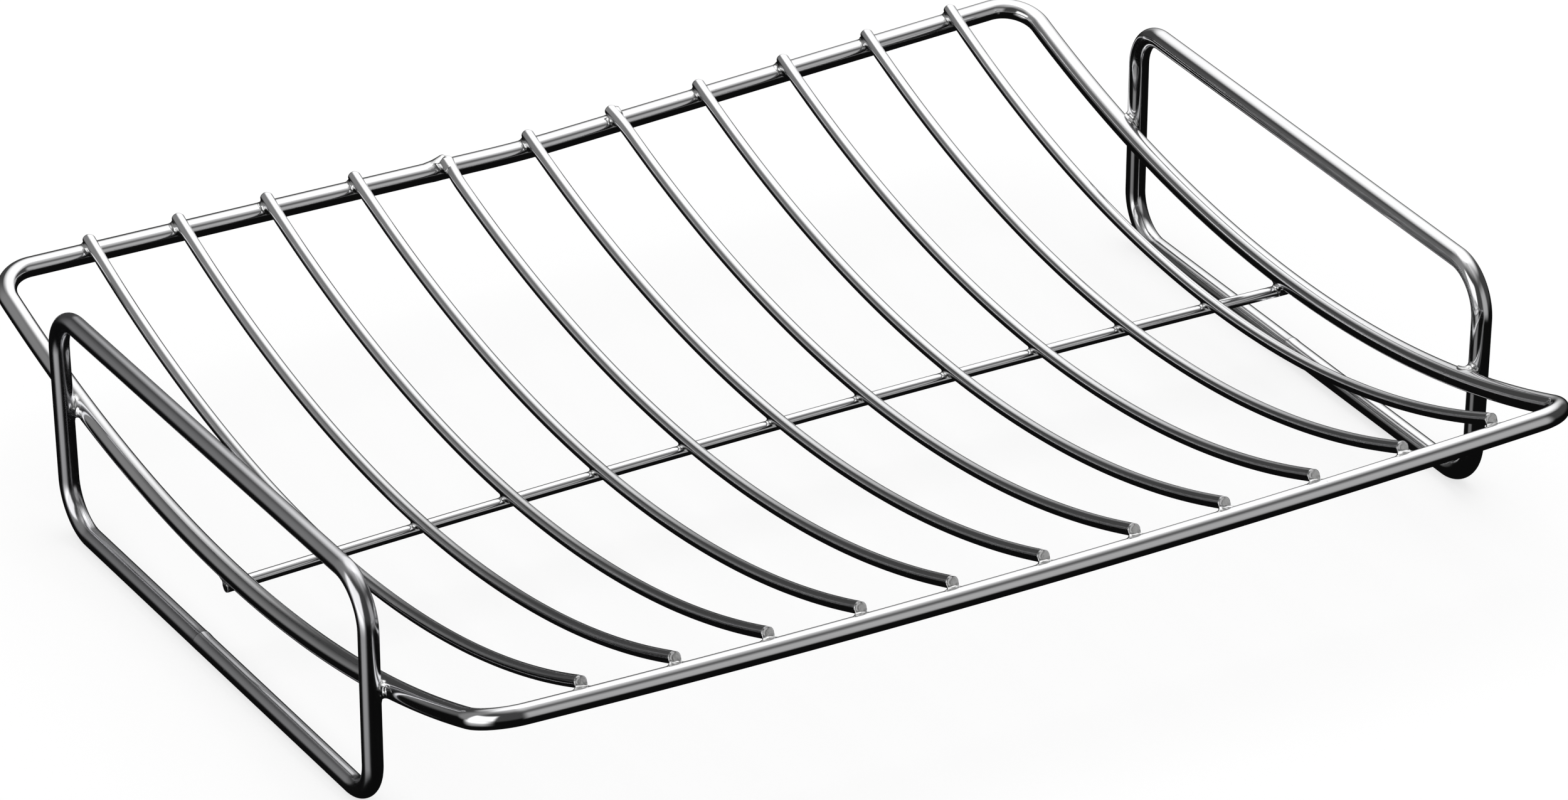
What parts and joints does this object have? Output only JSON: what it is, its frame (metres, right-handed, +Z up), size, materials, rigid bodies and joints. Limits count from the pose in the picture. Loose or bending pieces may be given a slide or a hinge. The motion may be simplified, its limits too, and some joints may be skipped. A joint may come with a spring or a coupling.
{
  "type": "roasting rack",
  "caption": "Curved wire roasting rack: a rim with thin wires hung across it as a cradle and a closed loop at each end as foot and handle.",
  "frame": {"origin": "middle of the rack, on the table that its two loops stand on", "axes": "+X along the rails, from the left loop to the right loop; +Y along the cross wires, from the front rail to the back rail; +Z up"},
  "size_m": [0.362, 0.3146, 0.0753],
  "materials": {
    "rim_steel": "bright drawn steel wire, polished",
    "cross_steel": "bright drawn steel wire, polished, with sheared ends",
    "keel_steel": "bright drawn steel wire, polished",
    "loop_steel": "satin drawn steel wire",
    "weld_metal": "bright resistance weld metal"
  },
  "bodies": {
    "root": {"rim_frame": "rim_steel", "cross_wire_01": "cross_steel", "cross_wire_02": "cross_steel", "cross_wire_03": "cross_steel", "cross_wire_04": "cross_steel", "cross_wire_05": "cross_steel", "cross_wire_06": "cross_steel", "cross_wire_07": "cross_steel", "cross_wire_08": "cross_steel", "cross_wire_09": "cross_steel", "cross_wire_10": "cross_steel", "cross_wire_11": "cross_steel", "keel_wire": "keel_steel", "left_end_loop": "loop_steel", "right_end_loop": "loop_steel", "back_rail_welds": "weld_metal", "front_rail_welds": "weld_metal", "keel_welds": "weld_metal", "keel_end_welds": "weld_metal", "loop_welds": "weld_metal"}
  },
  "joints": []
}
